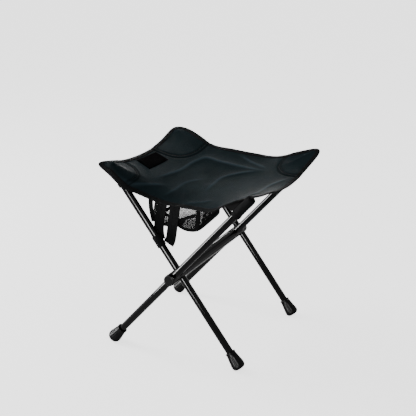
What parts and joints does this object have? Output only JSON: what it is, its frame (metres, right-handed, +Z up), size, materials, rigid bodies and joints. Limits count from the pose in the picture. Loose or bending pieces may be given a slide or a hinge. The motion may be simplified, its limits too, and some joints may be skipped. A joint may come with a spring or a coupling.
{
  "type": "camp stool",
  "caption": "Folding camp stool with a hammock cloth seat on crossed steel legs that turn on one crossbar, and a mesh pouch below.",
  "frame": {"origin": "on the floor, under the middle of the crossbar", "axes": "+Z up; +Y along the crossbar, from the front end to the rear; +X across the legs, to the right seen from the front"},
  "size_m": [0.4, 0.36, 0.4294],
  "materials": {
    "powder_coated_steel": "gloss black powder coat",
    "moulded_nylon": "gloss black moulded nylon",
    "zinc_plated_steel": "zinc plated",
    "black_rubber": "matt black rubber",
    "seat_polyester": "slate grey coated polyester",
    "black_tape": "black woven binding tape",
    "hook_pile": "black hook pile",
    "polyester_mesh": "black open mesh",
    "black_webbing": "black ribbed webbing"
  },
  "bodies": {
    "crossbar": {"axle": "zinc_plated_steel", "middle_tube": "powder_coated_steel", "bushing_front": "moulded_nylon", "bushing_rear": "moulded_nylon", "end_cap_front": "moulded_nylon", "end_cap_rear": "moulded_nylon", "washer_inner_front": "moulded_nylon", "washer_inner_rear": "moulded_nylon", "washer_outer_front": "moulded_nylon", "washer_outer_rear": "moulded_nylon"},
    "leg_left_front": {"leg_tube_left_front": "powder_coated_steel", "top_plug_left_front": "moulded_nylon", "foot_left_front": "black_rubber", "hub_left_front": "moulded_nylon", "corner_pocket_left_front": "seat_polyester"},
    "leg_right_front": {"leg_tube_right_front": "powder_coated_steel", "top_plug_right_front": "moulded_nylon", "foot_right_front": "black_rubber", "hub_right_front": "moulded_nylon", "corner_pocket_right_front": "seat_polyester"},
    "leg_left_rear": {"leg_tube_left_rear": "powder_coated_steel", "top_plug_left_rear": "moulded_nylon", "foot_left_rear": "black_rubber", "hub_left_rear": "moulded_nylon", "corner_pocket_left_rear": "seat_polyester"},
    "leg_right_rear": {"leg_tube_right_rear": "powder_coated_steel", "top_plug_right_rear": "moulded_nylon", "foot_right_rear": "black_rubber", "hub_right_rear": "moulded_nylon", "corner_pocket_right_rear": "seat_polyester"},
    "seat": {"seat_panel": "seat_polyester", "edge_binding": "black_tape", "hook_patch": "hook_pile", "mesh_pouch": "polyester_mesh", "pouch_tape": "black_tape", "tie_strap": "black_webbing", "tail_strap": "black_webbing"},
    "strap_loop": {"strap_loop": "black_webbing"}
  },
  "joints": [
    {"name": "fold", "type": "hinge", "parent": "crossbar", "child": "leg_left_front", "pos_m": [0, -0.132, 0.197], "axis": [0, 1, 0], "range_deg": [0, 38.5]},
    {"name": "fold_right_front", "type": "hinge", "parent": "crossbar", "child": "leg_right_front", "pos_m": [0, -0.162, 0.197], "axis": [0, 1, 0], "range_deg": [-38.5, 0]},
    {"name": "fold_left_rear", "type": "hinge", "parent": "crossbar", "child": "leg_left_rear", "pos_m": [0, 0.162, 0.197], "axis": [0, 1, 0], "range_deg": [0, 38.5]},
    {"name": "fold_right_rear", "type": "hinge", "parent": "crossbar", "child": "leg_right_rear", "pos_m": [0, 0.132, 0.197], "axis": [0, 1, 0], "range_deg": [-38.5, 0]},
    {"name": "seat_rise", "type": "slide", "parent": "crossbar", "child": "seat", "axis": [0, 0, 1], "range_m": [0, 0.0647], "deforming": ["seat_panel", "edge_binding", "hook_patch", "mesh_pouch", "pouch_tape", "tie_strap", "tail_strap"]},
    {"name": "loop_slide", "type": "slide", "parent": "leg_left_front", "child": "strap_loop", "axis": [-0.6334, 0, 0.7738], "range_m": [0, 0.0455]}
  ],
  "couplings": [
    {"joint": "fold_right_front", "follows": "fold", "ratio": -1},
    {"joint": "fold_left_rear", "follows": "fold", "ratio": 1},
    {"joint": "fold_right_rear", "follows": "fold", "ratio": -1},
    {"joint": "seat_rise", "follows": "fold", "m_per_rad": 0.0955},
    {"joint": "loop_slide", "follows": "fold", "m_per_rad": 0.067}
  ]
}
